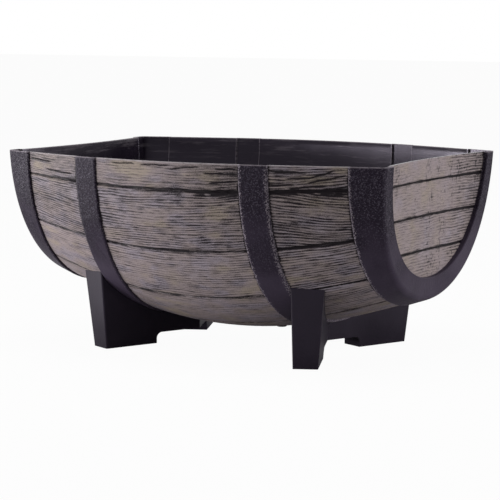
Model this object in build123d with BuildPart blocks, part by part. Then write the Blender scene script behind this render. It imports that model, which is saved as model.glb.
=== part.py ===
from build123d import *
import math
import os

os.makedirs("parts", exist_ok=True)

# A half barrel laid on its side as a planter: one moulded trough with its staves, hoops and
# heads in relief, two chevron feet screwed on from inside, and three drain bungs.
# Millimetres. X runs along the barrel, Z is up, the origin is on the ground below the middle.

# Trough
length = 700.0                # rim, from end lip to end lip
rim_height = 323.0            # rim above the ground
end_half_width = 197.0        # hoop surface at an end, out from the middle line
end_depth = 216.0             # hoop surface at an end, down from the rim
bulge = 76.0                  # the middle stands out by this much more, sideways and down
fullness = 0.60               # handle length of the curves that draw the section
wall = 4.0
end_slope = 0.084             # the ends lean in by this much for each unit of depth
overrun = 10.0                # how far cutting shapes run on past what they cut
barrel_steps = 8              # cross-sections from end to end of a lofted barrel

curve_step = 1e-9             # how closely a height on the section curve is found

# Hoops, moulded in relief
hoop_raise = 3.5
inner_hoop = (131.0, 177.0)   # near and far edge of an inner hoop, from the middle
end_hoop_start = 295.0
hoop_back_margin = 2.0        # the hollow behind a hoop is narrower by this on each side
end_corner_radius = 7.0

# Stave seams, as shares of the way round the section curve from the rim to the bottom
seam_places = (0.087, 0.307, 0.54, 0.78)
bottom_seam = 1.0
seam_width = 3.0
seam_depth = 2.0
seam_steps = 4                # points of a seam's curve on each side of the middle

# Barrel heads
lip_width = 28.0
head_recess = 5.0             # the boards lie this far behind the lip at their ends
head_bow = 15.0               # and this much further in at the middle of the rim
head_seams = (34.0, 89.0, 144.0)

# Feet
foot_vertex = 122.7           # where the two arms of a foot meet, out from the middle
arm_angle = 24.0              # each arm turns outwards from the Y direction
arm_length = 174.5            # from the vertex to the end face, at the ground
arm_half_width = 20.0         # at the ground
draft_height = 117.0          # the drafts are measured over this height
outer_draft = 10.0            # the outer side leans out by this over the draft height
inner_draft = 1.8
end_draft = 9.7
leg_length = 97.5             # the part of an arm that stands on the ground
arch_height = 18.0
arch_corner = 10.0
foot_height = 142.0           # before the saddle is cut
foot_wall = 3.5
foot_floor = 4.0
foot_edge_radius = 2.5
foot_rib = 2.5
rib_length = 80.0
saddle_gap = 0.2

# Foot screws, their washers and what they pass through
arm_screw_place = 95.0        # along the arm from the vertex
pad_radius = 9.0
pad_raise = 4.0               # pad above the trough's floor, at the middle of the pad
shell_hole = 5.5
screw_size = 4.8
screw_length = 25.0
screw_point = 3.0
screw_tip_radius = 0.6
pilot_hole = 4.9
pilot_depth = 18.0
boss_radius = 7.0
head_radius = 4.75
head_height = 3.4
head_crown = 1.2
cross_length = 5.4
cross_width = 1.2
cross_depth = 1.7
washer_radius = 7.0
washer_hole = 5.2
washer_thickness = 1.8

# Drain bungs
bung_names = ("drain_bung_left", "drain_bung_middle", "drain_bung_right")
bung_spacing = 60.0
drain_hole = 18.0
drain_pad_radius = 16.0
drain_pad_raise = 1.8
bung_clearance = 0.05         # all round the shank, and under the flange
bung_shank = 9.0
bung_chamfer = 1.5
bung_flange_radius = 13.5
bung_flange = 3.0
bung_neck_radius = 4.0
bung_neck = 2.5
bung_knob_radius = 6.0
bung_knob = 4.0
bung_round = 1.0

half_length = length / 2
stave_inset = hoop_raise
floor_inset = hoop_raise + wall
head_half_width = end_half_width - lip_width
head_depth = end_depth - lip_width
standing = (Align.CENTER, Align.CENTER, Align.MIN)
hanging = (Align.CENTER, Align.CENTER, Align.MAX)
arm_turn = math.radians(arm_angle)
arm_along = Vector(math.sin(arm_turn), -math.cos(arm_turn), 0)
arm_across = Vector(math.cos(arm_turn), math.sin(arm_turn), 0)


def swell(x):
    """Extra half width and extra depth of the barrel at x: half a wave along its length."""
    return bulge * math.cos(math.pi * x / length)


def unit_curve(t):
    """Point of the section curve for a half width and a depth of one: a cubic curve whose
    two handles are as long as the fullness."""
    out = (1 - t) ** 3 + 3 * (1 - t) ** 2 * t + 3 * (1 - t) * t ** 2 * fullness
    down = 3 * (1 - t) ** 2 * t * fullness + 3 * (1 - t) * t ** 2 + t ** 3
    return out, down


def surface_height(x, y, inset):
    """Height of the barrel's surface, set in by inset, at the point (x, y)."""
    half_width = end_half_width + swell(x) - inset
    depth = end_depth + swell(x) - inset
    place, step = 0.0, 0.5
    while step > curve_step:
        if unit_curve(place + step)[0] * half_width > abs(y):
            place += step
        step /= 2
    return rim_height - depth * unit_curve(place)[1]


def draw_half_barrel(half_width, depth):
    """Lines of the half-barrel outline, open side up: two cubic curves that meet at the
    bottom, carried on straight past the rim."""
    handle_out = fullness * half_width
    handle_down = fullness * depth
    Bezier((half_width, 0), (half_width, -handle_down), (handle_out, -depth), (0, -depth))
    Bezier((0, -depth), (-handle_out, -depth), (-half_width, -handle_down), (-half_width, 0))
    Polyline((-half_width, 0), (-half_width, overrun), (half_width, overrun), (half_width, 0))


def section(x, inset):
    """Cross-section of the barrel at x, its surface set in by inset."""
    plane = Plane(origin=(x, 0, rim_height), x_dir=(0, 1, 0), z_dir=(1, 0, 0))
    with BuildSketch(plane) as face:
        with BuildLine():
            draw_half_barrel(end_half_width + swell(x) - inset, end_depth + swell(x) - inset)
        make_face()
    return face.sketch


def stretch(start, end, inset, steps=2):
    """Cross-sections from start to end along the barrel, to be lofted."""
    return [section(start + (end - start) * i / steps, inset) for i in range(steps + 1)]


def end_plane(side, setback):
    """Plane of an end face, moved into the barrel by setback. Its Y direction climbs the face."""
    outward = Vector(side, 0, -end_slope).normalized()
    origin = Vector(side * half_length, 0, rim_height) - outward * setback
    return Plane(origin=origin, x_dir=(0, side, 0), z_dir=outward)


def end_trim(side, setback):
    """A block that holds everything beyond an end face."""
    with BuildPart() as block:
        with BuildSketch(end_plane(side, setback)):
            Rectangle(2 * length, 2 * length)
        extrude(amount=half_length)
    return block.part


def head_slice(side, height, recess):
    """What lies in front of a head at one height on the end face. The boards are bowed
    into the barrel, most at the rim and hardly at all at the bottom."""
    face = end_plane(side, 0)
    plane = Plane(origin=face.origin + face.y_dir * height, x_dir=face.x_dir, z_dir=face.y_dir)
    bow = head_bow * (1 + height / (end_depth + overrun))
    reach = head_half_width + 2 * wall
    with BuildSketch(plane) as layer:
        with BuildLine():
            ThreePointArc((-reach, recess), (0, recess + bow), (reach, recess))
            Polyline((reach, recess), (reach, -overrun), (-reach, -overrun), (-reach, recess))
        make_face()
    return layer.sketch


def head_pocket(side, recess, margin, seams):
    """The space in front of a head, inside its lip, with a groove for each board seam."""
    with BuildPart() as pocket:
        loft([head_slice(side, overrun, recess), head_slice(side, -end_depth, recess)], ruled=True)
        for seam in seams:
            top = -seam + seam_width / 2
            bottom = -seam - seam_width / 2
            loft([head_slice(side, h, recess + seam_depth) for h in (top, bottom)], ruled=True)
        deepest = recess + seam_depth + head_bow + overrun
        with BuildSketch(end_plane(side, deepest)):
            with BuildLine():
                draw_half_barrel(head_half_width + margin, head_depth + margin)
            make_face()
        extrude(amount=deepest + overrun, mode=Mode.INTERSECT)
    return pocket.part


def seam_cutter(side, place):
    """A thin slab that cuts one stave seam. As the barrel swells, each point of a seam moves
    away from the barrel's axis in one direction, so the whole seam lies in one plane."""
    out, down = unit_curve(place)
    growth = math.hypot(out, down)
    half_width = end_half_width - stave_inset
    depth = end_depth - stave_inset
    outward = Vector(0, side * out, -down).normalized()
    start = Vector(0, side * out * half_width, rim_height - down * depth)
    plane = Plane(origin=start, x_dir=(1, 0, 0), z_dir=Vector(1, 0, 0).cross(outward))
    reach = half_length + overrun
    stations = [reach * i / seam_steps for i in range(-seam_steps, seam_steps + 1)]
    groove = [(x, growth * swell(x) - seam_depth) for x in stations]
    far = growth * bulge + overrun
    with BuildPart() as slab:
        with BuildSketch(plane):
            with BuildLine():
                Spline(groove)
                Polyline(groove[-1], (reach, far), (-reach, far), groove[0])
            make_face()
        extrude(amount=seam_width / 2, both=True)
    return slab.part


def screw_places(side):
    """The three screws of one foot: at its vertex, and on each arm."""
    spot = Vector(foot_vertex, 0, 0) + arm_along * arm_screw_place
    return [(side * foot_vertex, 0), (side * spot.X, spot.Y), (side * spot.X, -spot.Y)]


def pad_top(x, y):
    """Height of the flat pad under a screw's washer."""
    return surface_height(x, y, floor_inset) + pad_raise


def drain_seat(x):
    """Height of the flat seat round a drain hole."""
    return surface_height(x, 0, floor_inset) + drain_pad_raise


def chevron(height, inset):
    """Outline of the right foot at a height, both arms, set in by inset."""
    rise = height / draft_height
    outer = arm_half_width + outer_draft * rise - inset
    inner = arm_half_width + inner_draft * rise - inset
    end = arm_length + end_draft * rise - inset
    vertex = Vector(foot_vertex, 0, 0)
    front = [vertex + arm_along * end + arm_across * across for across in (outer, -inner)]
    outline = [(foot_vertex + outer / math.cos(arm_turn), 0)]
    outline += [(corner.X, corner.Y) for corner in front]
    outline += [(foot_vertex - inner / math.cos(arm_turn), 0)]
    outline += [(corner.X, -corner.Y) for corner in reversed(front)]
    with BuildSketch(Plane.XY.offset(height)) as face:
        with BuildLine():
            Polyline(*outline, close=True)
        make_face()
    return face.sketch


def arch(margin):
    """The space between a foot's legs, under the arms, grown by margin, with round corners."""
    plane = Plane(origin=(foot_vertex, 0, 0), x_dir=arm_along, z_dir=arm_across * -1)
    leg_start = arm_length - leg_length + margin
    top = arch_height + margin
    with BuildPart() as opening:
        with BuildSketch(plane):
            with BuildLine():
                Line((-arm_length, -overrun), (leg_start, -overrun))
                Line((leg_start, -overrun), (leg_start, top - arch_corner))
                RadiusArc((leg_start, top - arch_corner), (leg_start - arch_corner, top), -arch_corner)
                Polyline((leg_start - arch_corner, top), (-arm_length, top), (-arm_length, -overrun))
            make_face()
        extrude(amount=arm_length, both=True)
        split(bisect_by=Plane.XZ, keep=Keep.TOP)
        mirror(about=Plane.XZ)
    return opening.part


# The trough's outside: staves with their seams, hoops laid over them, ends cut and rounded,
# and the pockets in front of the heads
barrel_end = half_length + overrun / 2
with BuildPart() as trough_outside:
    loft(stretch(-barrel_end, barrel_end, stave_inset, barrel_steps))
    for side in (-1, 1):
        for place in seam_places:
            add(seam_cutter(side, place), mode=Mode.SUBTRACT)
    add(seam_cutter(1, bottom_seam), mode=Mode.SUBTRACT)
    for side in (-1, 1):
        loft(stretch(side * inner_hoop[0], side * inner_hoop[1], 0))
        loft(stretch(side * end_hoop_start, side * barrel_end, 0))
    for side in (-1, 1):
        add(end_trim(side, 0), mode=Mode.SUBTRACT)
    split(bisect_by=Plane.XY.offset(rim_height), keep=Keep.BOTTOM)
    across = trough_outside.faces().sort_by(Axis.X)
    for end_face in (across[0], across[-1]):
        fillet(end_face.edges().filter_by(GeomType.LINE, reverse=True), end_corner_radius)
    for side in (-1, 1):
        add(head_pocket(side, head_recess, 0, head_seams), mode=Mode.SUBTRACT)

# The trough's hollow follows the outside at one wall's distance, also behind the hoops and
# heads, and leaves flat pads under the washers and round the drain holes
with BuildPart() as trough_hollow:
    loft(stretch(-barrel_end, barrel_end, floor_inset, barrel_steps))
    for side in (-1, 1):
        near, far = inner_hoop[0] + hoop_back_margin, inner_hoop[1] - hoop_back_margin
        loft(stretch(side * near, side * far, wall))
        loft(stretch(side * (end_hoop_start + hoop_back_margin), side * barrel_end, wall))
    for side in (-1, 1):
        add(end_trim(side, wall), mode=Mode.SUBTRACT)
        add(head_pocket(side, head_recess + wall, wall, ()), mode=Mode.SUBTRACT)
        for x, y in screw_places(side):
            with Locations((x, y, pad_top(x, y))):
                Cylinder(pad_radius, rim_height, align=hanging, mode=Mode.SUBTRACT)
    for i in (-1, 0, 1):
        x = i * bung_spacing
        with Locations((x, 0, drain_seat(x))):
            Cylinder(drain_pad_radius, rim_height, align=hanging, mode=Mode.SUBTRACT)

with BuildPart() as trough_shell:
    add(trough_outside.part)
    add(trough_hollow.part, mode=Mode.SUBTRACT)
    with Locations(*[(x, y, rim_height) for side in (-1, 1) for x, y in screw_places(side)]):
        Hole(shell_hole / 2)
    with Locations(*[(i * bung_spacing, 0, rim_height) for i in (-1, 0, 1)]):
        Hole(drain_hole / 2)
trough_shell.part.label = "trough_shell"
export_step(trough_shell.part, "parts/trough_shell.step")

# The saddle: the barrel as the feet meet it, a little larger all round
with BuildPart() as saddle:
    loft(stretch(-end_hoop_start, end_hoop_start, stave_inset - saddle_gap, barrel_steps))
    for side in (-1, 1):
        near, far = inner_hoop
        loft(stretch(side * (near - saddle_gap), side * (far + saddle_gap), -saddle_gap))

# The foot's hollow, open at the top, leaves the screw bosses and a rib on each arm's boss
with BuildPart() as foot_hollow:
    loft([chevron(foot_floor, foot_wall), chevron(foot_height + overrun, foot_wall)], ruled=True)
    add(arch(foot_floor), mode=Mode.SUBTRACT)
    for x, y in screw_places(1):
        with Locations((x, y, 0)):
            Cylinder(boss_radius, foot_height, align=standing, mode=Mode.SUBTRACT)
    for (x, y), turn in zip(screw_places(1)[1:], (arm_angle, -arm_angle)):
        with Locations(Location((x, y, foot_height / 2), (0, 0, turn))):
            Box(rib_length, foot_rib, foot_height, mode=Mode.SUBTRACT)

with BuildPart() as right_foot:
    loft([chevron(0, 0), chevron(foot_height, 0)], ruled=True)
    level_faces = right_foot.faces().sort_by(Axis.Z)
    level_edges = level_faces[0].edges() + level_faces[-1].edges()
    fillet(right_foot.edges() - level_edges, foot_edge_radius)
    add(arch(0), mode=Mode.SUBTRACT)
    add(foot_hollow.part, mode=Mode.SUBTRACT)
    add(saddle.part, mode=Mode.SUBTRACT)
    for x, y in screw_places(1):
        with Locations((x, y, surface_height(x, y, 0))):
            Cylinder(pilot_hole / 2, 2 * pilot_depth, mode=Mode.SUBTRACT)
right_foot.part.label = "right_foot"
export_step(right_foot.part, "parts/right_foot.step")

with BuildPart() as left_foot:
    mirror(right_foot.part, about=Plane.YZ)
left_foot.part.label = "left_foot"
export_step(left_foot.part, "parts/left_foot.step")

# One pan-head screw, its seat at the origin, and one washer, its underside at the origin
with BuildPart() as screw:
    Cylinder(head_radius, head_height, align=standing)
    fillet(screw.edges().filter_by(GeomType.CIRCLE).sort_by(Axis.Z)[-1:], head_crown)
    with Locations((0, 0, head_height)):
        Box(cross_length, cross_width, 2 * cross_depth, mode=Mode.SUBTRACT)
        Box(cross_width, cross_length, 2 * cross_depth, mode=Mode.SUBTRACT)
    shank = screw_length - screw_point
    Cylinder(screw_size / 2, shank, align=hanging)
    with Locations((0, 0, -shank)):
        Cone(screw_tip_radius, screw_size / 2, screw_point, align=hanging)

with BuildPart() as washer:
    Cylinder(washer_radius, washer_thickness, align=standing)
    Hole(washer_hole / 2)

# Each foot has its three screws and three washers
for side, foot in ((-1, "left_foot"), (1, "right_foot")):
    seats = [(x, y, pad_top(x, y)) for x, y in screw_places(side)]
    with BuildPart() as washers:
        with Locations(*seats):
            add(washer.part)
    washers.part.label = foot + "_washers"
    export_step(washers.part, "parts/" + foot + "_washers.step")
    with BuildPart() as screws:
        with Locations(*[(x, y, z + washer_thickness) for x, y, z in seats]):
            add(screw.part)
    screws.part.label = foot + "_screws"
    export_step(screws.part, "parts/" + foot + "_screws.step")

# One bung, turned about its own axis, with its seat at the origin
shank_radius = drain_hole / 2 - bung_clearance
neck_top = bung_flange + bung_neck
knob_top = neck_top + bung_knob
with BuildPart() as bung:
    with BuildSketch(Plane.XZ):
        with BuildLine():
            Polyline(
                (0, -bung_shank),
                (shank_radius - bung_chamfer, -bung_shank),
                (shank_radius, bung_chamfer - bung_shank),
                (shank_radius, 0),
                (bung_flange_radius, 0),
                (bung_flange_radius, bung_flange),
                (bung_neck_radius, bung_flange),
                (bung_neck_radius, neck_top),
                (bung_knob_radius, neck_top),
                (bung_knob_radius, knob_top),
                (0, knob_top),
                close=True)
        make_face()
    revolve(axis=Axis.Z)
    rims = bung.edges().filter_by(GeomType.CIRCLE).group_by(Axis.Z)
    fillet(rims[-1] + rims[-3].sort_by(SortBy.LENGTH)[-1:], bung_round)

for name, i in zip(bung_names, (-1, 0, 1)):
    with BuildPart() as placed_bung:
        with Locations((i * bung_spacing, 0, drain_seat(i * bung_spacing) + bung_clearance)):
            add(bung.part)
    placed_bung.part.label = name
    export_step(placed_bung.part, "parts/" + name + ".step")
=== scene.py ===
"""Looks of the half-barrel planter: dry-brushed staves and heads, moulded hoops, satin
inside. Metres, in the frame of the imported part."""

import math

import bpy
import numpy as np
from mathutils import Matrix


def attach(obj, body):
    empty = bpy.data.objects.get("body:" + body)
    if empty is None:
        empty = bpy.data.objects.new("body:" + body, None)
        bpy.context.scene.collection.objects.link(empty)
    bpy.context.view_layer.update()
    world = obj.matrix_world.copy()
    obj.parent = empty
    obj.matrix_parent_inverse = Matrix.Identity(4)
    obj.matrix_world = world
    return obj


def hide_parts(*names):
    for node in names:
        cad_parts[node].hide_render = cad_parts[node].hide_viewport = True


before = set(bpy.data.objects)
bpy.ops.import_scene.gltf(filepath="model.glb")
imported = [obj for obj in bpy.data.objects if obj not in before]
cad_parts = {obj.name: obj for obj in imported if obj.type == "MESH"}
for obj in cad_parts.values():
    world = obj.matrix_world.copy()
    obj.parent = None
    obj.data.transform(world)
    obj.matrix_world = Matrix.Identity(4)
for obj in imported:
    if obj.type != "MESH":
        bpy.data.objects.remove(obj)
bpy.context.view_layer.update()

# Trough, as in the part
LENGTH = 0.700
RIM = 0.323                 # height of the rim above the ground
END_HALF_WIDTH = 0.197
END_DEPTH = 0.216
BULGE = 0.076               # extra half width and depth at mid-length
FULLNESS = 0.60             # handles of the section curve, as a share of its sides
WALL = 0.004
END_SLOPE = 0.084           # lean of the ends for each unit of depth
STAVE_INSET = 0.0035        # from the hoops' faces back to the staves
INSIDE_INSET = STAVE_INSET + WALL
INNER_HOOP = (0.131, 0.177)  # near and far edge, from mid-length
END_HOOP_START = 0.295
HOOP_BACK_MARGIN = 0.002    # the hollow behind a hoop is this much narrower each side
END_CORNER = 0.008          # rounded corner between an end hoop and its lip
SEAM_PLACES = (0.087, 0.307, 0.54, 0.78, 1.0)
LIP_WIDTH = 0.028
HEAD_RECESS = 0.005
HEAD_BOW = 0.015
HEAD_REACH = END_HALF_WIDTH - LIP_WIDTH + 2 * WALL
HEAD_SEAMS = (0.034, 0.089, 0.144)
BOW_DEPTH = END_DEPTH + 0.010  # depth at which the bow would run out
NORMAL_LENGTH = math.hypot(1.0, END_SLOPE)

# Fittings in the floor of the trough
FOOT_VERTEX = 0.1227        # screws where the arms of a foot meet, from mid-length
ARM_SCREW = (0.16134, 0.08679)  # and on the arms
DRAIN_PLACES = (-0.060, 0.0, 0.060)

RIM_ROUND = 0.0009          # radius of the rim's rounded edges
COARSER = 6                 # steps of a panel's front for each step of its back
COARSE = (slice(None, None, COARSER),) * 2


def swell(x):
    """Extra half width and depth at x: a cosine, half a wave along the barrel."""
    return BULGE * np.cos(np.pi * x / LENGTH)


def unit_curve(place):
    """Section curve for a half width and a depth of one: a cubic curve from the rim at 0 to
    the bottom at 1, with both handles as long as the fullness."""
    rest = 1.0 - place
    out = rest ** 3 + 3 * rest ** 2 * place + 3 * rest * place ** 2 * FULLNESS
    down = 3 * rest ** 2 * place * FULLNESS + 3 * rest * place ** 2 + place ** 3
    return out, down


PLACES = np.linspace(0.0, 1.0, 2001)  # places that the section curve's tables hold


def arc_table(half_width, depth):
    """Distance from the rim along a section curve, at each of the table's places: the sum
    of its short chords."""
    out, down = unit_curve(PLACES)
    chords = np.hypot(np.diff(out * half_width), np.diff(down * depth))
    return np.concatenate(([0.0], np.cumsum(chords)))


ARC = arc_table(END_HALF_WIDTH + BULGE - STAVE_INSET, END_DEPTH + BULGE - STAVE_INSET)
GIRTH = ARC[-1]


def place_at(distance):
    """Place on the section curve at a distance from the rim, measured at mid-length."""
    return np.interp(distance, ARC, PLACES)


def distance_at(place):
    """Distance from the rim of a place on the section curve, measured at mid-length."""
    return np.interp(place, PLACES, ARC)


def barrel_point(x, place, side, inset):
    """Point of the barrel: the section curve scaled to the half width and depth at x, both
    less the inset. Side is -1 at the front and 1 at the back."""
    out, down = unit_curve(place)
    y = side * out * (END_HALF_WIDTH + swell(x) - inset)
    z = RIM - down * (END_DEPTH + swell(x) - inset)
    return np.stack(np.broadcast_arrays(x, y, z), axis=-1)


def surface_height(x, y, inset):
    """Height of the barrel's surface at (x, y), read back from the section curve."""
    out, down = unit_curve(PLACES)
    half_width = END_HALF_WIDTH + swell(x) - inset
    place = np.interp(-np.abs(y) / half_width, -out, PLACES)
    return RIM - np.interp(place, PLACES, down) * (END_DEPTH + swell(x) - inset)


def blend(low, high, value):
    """0 below low, 1 above high, and a smooth S between them."""
    share = np.clip((value - low) / (high - low), 0.0, 1.0)
    return share * share * (3 - 2 * share)


LATTICE = 256               # random values on each side of a noise before it repeats


def noise(u, v, cell_u, cell_v, seed):
    """Smooth random field between -1 and 1: random values at the corners of cells of the
    given size, blended by a smooth S."""
    lattice = np.random.default_rng(seed).uniform(-1.0, 1.0, (LATTICE, LATTICE))
    a, b = u / cell_u + 17.3, v / cell_v + 41.7
    i, j = np.floor(a).astype(int), np.floor(b).astype(int)
    f, g = a - i, b - j
    f, g = f * f * (3 - 2 * f), g * g * (3 - 2 * g)
    i, j, k, m = i % LATTICE, j % LATTICE, (i + 1) % LATTICE, (j + 1) % LATTICE
    near = lattice[i, j] * (1 - f) + lattice[k, j] * f
    far = lattice[i, m] * (1 - f) + lattice[k, m] * f
    return near * (1 - g) + far * g


def numbered(rows, columns, first=0):
    """Numbers of a grid's points, row by row."""
    return np.arange(rows * columns).reshape(rows, columns) + first


def quads(index):
    """Faces between the neighbours in a grid of numbered points."""
    return np.stack((index[:-1, :-1], index[1:, :-1], index[1:, 1:], index[:-1, 1:]), axis=-1)


def border(index):
    """Numbers on the border of a grid, once round."""
    return np.concatenate(
        (index[0, :-1], index[:-1, -1], index[-1, :0:-1], index[:0:-1, 0]))


def circle(sides):
    """Points round a circle with a radius of 1, a row each."""
    around = np.linspace(0, 2 * np.pi, sides + 1)[:-1]
    return np.stack((np.cos(around), np.sin(around)), axis=-1)


def signed_volume(points, faces):
    """Six times the volume of the fan from the origin to each face, added up."""
    total = 0.0
    for block in faces:
        for second in range(1, block.shape[1] - 1):
            a, b, c = (points[block[:, n]] for n in (0, second, second + 1))
            total += float(np.einsum("ij,ij->", a, np.cross(b, c)))
    return total


def new_piece(name, points, faces, materials, finish, fields=None, uv=None, crease=35.0):
    """Makes a mesh object from arrays. Faces is a list of index blocks, finish gives one
    material number for each block, and fields are values carried by the points. Edges that
    turn by more than the crease, in degrees, stay sharp."""
    if signed_volume(points, faces) < 0:
        faces = [block[:, ::-1] for block in faces]
    loops = np.concatenate([block.ravel() for block in faces])
    sizes = np.concatenate([np.full(len(block), block.shape[1]) for block in faces])
    slots = np.concatenate([np.full(len(block), n) for block, n in zip(faces, finish)])
    mesh = bpy.data.meshes.new(name)
    mesh.vertices.add(len(points))
    mesh.vertices.foreach_set("co", points.astype(np.float32).ravel())
    mesh.loops.add(len(loops))
    mesh.loops.foreach_set("vertex_index", loops.astype(np.int32))
    mesh.polygons.add(len(sizes))
    mesh.polygons.foreach_set("loop_start", (np.cumsum(sizes) - sizes).astype(np.int32))
    mesh.polygons.foreach_set("material_index", slots.astype(np.int32))
    mesh.update(calc_edges=True)
    mesh.validate()
    mesh.shade_smooth()
    mesh.set_sharp_from_angle(angle=math.radians(crease))
    for key, values in (fields or {}).items():
        mesh.attributes.new(key, "FLOAT", "POINT").data.foreach_set(
            "value", values.astype(np.float32).ravel())
    if uv is not None:
        layer = mesh.uv_layers.new(name="surface")
        layer.uv.foreach_set("vector", uv.reshape(-1, 2)[loops].astype(np.float32).ravel())
    for material in materials:
        mesh.materials.append(material)
    piece = bpy.data.objects.new(name, mesh)
    bpy.context.scene.collection.objects.link(piece)
    return piece


def slab(outer, inner):
    """Closes the space between a fine grid and a coarse one behind it. The fine steps that
    meet a border step of the coarse grid fan to its ends, half to each, with one triangle
    between the fans."""
    front = numbered(*outer.shape[:2])
    back = numbered(*inner.shape[:2], front.size)
    fine, coarse = border(front), border(back)
    fine_next, coarse_next = np.roll(fine, -1), np.roll(coarse, -1)
    step = np.arange(len(fine))
    owner = step // COARSER
    near = step % COARSER < COARSER // 2
    fans = np.stack((fine_next, fine, np.where(near, coarse[owner], coarse_next[owner])),
                    axis=-1)
    middle = fine[np.arange(len(coarse)) * COARSER + COARSER // 2]
    links = np.stack((middle, coarse, coarse_next), axis=-1)
    points = np.concatenate((outer.reshape(-1, 3), inner.reshape(-1, 3)))
    front, back = (quads(index).reshape(-1, 4) for index in (front, back))
    return points, [front, back[:, ::-1], fans, links]


def rounding(distance, radius):
    """How far a rounded edge of that radius falls back at a distance from the edge: a
    quarter circle."""
    rest = np.clip(radius - distance, 0.0, radius)
    return radius - np.sqrt(radius ** 2 - rest ** 2)


def colour(red, green, blue):
    """A colour given as screen values of 0 to 255, in the linear values a shader takes: the
    standard screen curve, undone."""
    share = np.array((red, green, blue)) / 255.0
    linear = np.where(share <= 0.04045, share / 12.92, ((share + 0.055) / 1.055) ** 2.4)
    return (*(float(c) for c in linear), 1.0)


# Dry-brushed paint, the plastic under it, and the tint of the plastic's gloss
PAINT_COOL = colour(157, 147, 156)
PAINT_GREY = colour(154, 141, 142)
PAINT_WARM = colour(158, 145, 135)
# rubbed paint and painted highlight along the staves' rim edge
RIM_WEAR_AND_HIGHLIGHT_PAINT = colour(176, 166, 170)
BLACK = colour(22, 16, 21)
VIOLET = (0.90, 0.80, 1.0, 1.0)

# Paint rubbed on the top of the rim, and painted highlight there: where it starts and is full,
# below the rim, and its share
RIM_LIGHT_START = 0.0022
RIM_LIGHT_FULL = 0.0005
RIM_LIGHT_SHARE = 0.6


class Finish:
    """A node material. A method that adds a node gives back the socket of its result."""

    SOCKETS = {"colour": "Base Color", "roughness": "Roughness", "metal": "Metallic",
               "gloss": "Specular IOR Level", "gloss_tint": "Specular Tint"}

    def __init__(self, name):
        self.material = bpy.data.materials.new(name)
        self.material.use_nodes = True
        self.tree = self.material.node_tree
        self.shader = self.tree.nodes["Principled BSDF"]

    def feed(self, socket, value):
        """Links another socket to this one, or sets it to a constant."""
        if isinstance(value, bpy.types.NodeSocket):
            self.tree.links.new(value, socket)
        else:
            socket.default_value = value

    def node(self, kind, inputs=(), **settings):
        """Adds a node, with its settings made before its inputs are fed."""
        node = self.tree.nodes.new(kind)
        for key, value in settings.items():
            setattr(node, key, value)
        for key, value in dict(inputs).items():
            self.feed(node.inputs[key], value)
        return node

    def carried(self, name):
        """A value carried by the points of the piece."""
        return self.node("ShaderNodeAttribute", attribute_name=name).outputs["Fac"]

    def reckon(self, operation, *values):
        node = self.node("ShaderNodeMath", dict(enumerate(values)), operation=operation)
        return node.outputs[0]

    def sum(self, first, second):
        return self.reckon("ADD", first, second)

    def product(self, first, second):
        return self.reckon("MULTIPLY", first, second)

    def spread(self, value, low, high, to_low=0.0, to_high=1.0):
        """Maps low..high to to_low..to_high, smoothly and clamped."""
        return self.node("ShaderNodeMapRange", {
            "Value": value, "From Min": low, "From Max": high, "To Min": to_low,
            "To Max": to_high}, interpolation_type="SMOOTHSTEP").outputs[0]

    def vary(self, noise, low, high):
        """Maps the values that a noise mostly has to low..high."""
        return self.spread(noise, 0.3, 0.7, low, high)

    def mix(self, share, first, second):
        """Share 0 is the first colour, and share 1 the second."""
        node = self.node("ShaderNodeMix", data_type="RGBA")
        ends = [socket for socket in node.inputs if socket.type == "RGBA"]
        for socket, value in zip([node.inputs[0]] + ends, (share, first, second)):
            self.feed(socket, value)
        return next(socket for socket in node.outputs if socket.type == "RGBA")

    def on_object(self, scale=(1, 1, 1)):
        """Place in the part's own frame."""
        place = self.node("ShaderNodeTexCoord").outputs["Object"]
        return self.node("ShaderNodeMapping", {"Vector": place, "Scale": scale}).outputs[0]

    def on_surface(self, scale=(1, 1, 1)):
        """Place along and across the grain."""
        place = self.node("ShaderNodeUVMap", uv_map="surface").outputs[0]
        return self.node("ShaderNodeMapping", {"Vector": place, "Scale": scale}).outputs[0]

    def along(self, axis):
        """One coordinate in the part's own frame. Z is the height above the ground."""
        return self.node("ShaderNodeSeparateXYZ", {0: self.on_object()}).outputs[axis]

    def noise(self, where, scale, detail=2.0, rough=0.5):
        return self.node("ShaderNodeTexNoise", {
            "Vector": where, "Scale": scale, "Detail": detail, "Roughness": rough}).outputs[0]

    def upright_lines(self, places, width):
        """1 on the upright lines at these distances from mid-length, on both halves of the
        barrel, falling to 0 at the width."""
        out = self.reckon("ABSOLUTE", self.along("X"))
        total = 0.0
        for place in places:
            off = self.reckon("ABSOLUTE", self.sum(out, -place))
            total = self.sum(total, self.spread(off, 0.0, width, 1.0, 0.0))
        return total

    def rim_wear_and_highlight(self, base):
        """Paint rubbed on the very top of the rim, together with painted highlight, broken by
        noise.
        """
        top = self.spread(self.along("Z"), RIM - RIM_LIGHT_START, RIM - RIM_LIGHT_FULL)
        broken = self.spread(self.noise(self.on_object(), 150.0), 0.3, 0.6, 0.55, 1.0)
        share = self.product(self.product(top, broken), RIM_LIGHT_SHARE)
        return self.mix(share, base, PAINT_COOL)

    def bump(self, height, distance, strength=1.0):
        node = self.node("ShaderNodeBump", {
            "Height": height, "Distance": distance, "Strength": strength})
        self.feed(self.shader.inputs["Normal"], node.outputs[0])

    def set(self, **values):
        for key, value in values.items():
            self.feed(self.shader.inputs[self.SOCKETS[key]], value)


STREAKS = (55.0, 900.0, 1.0)  # to the metre, along and across the grain
STREAK_PAINT = (-0.36, 0.14)  # least and most paint that streaks add
SPECK_PAINT = (-0.28, 0.12)
# share of the staves' light rim edge: rubbed paint and painted highlight
RIM_WEAR_AND_HIGHLIGHT_SHARE = 0.85


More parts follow.
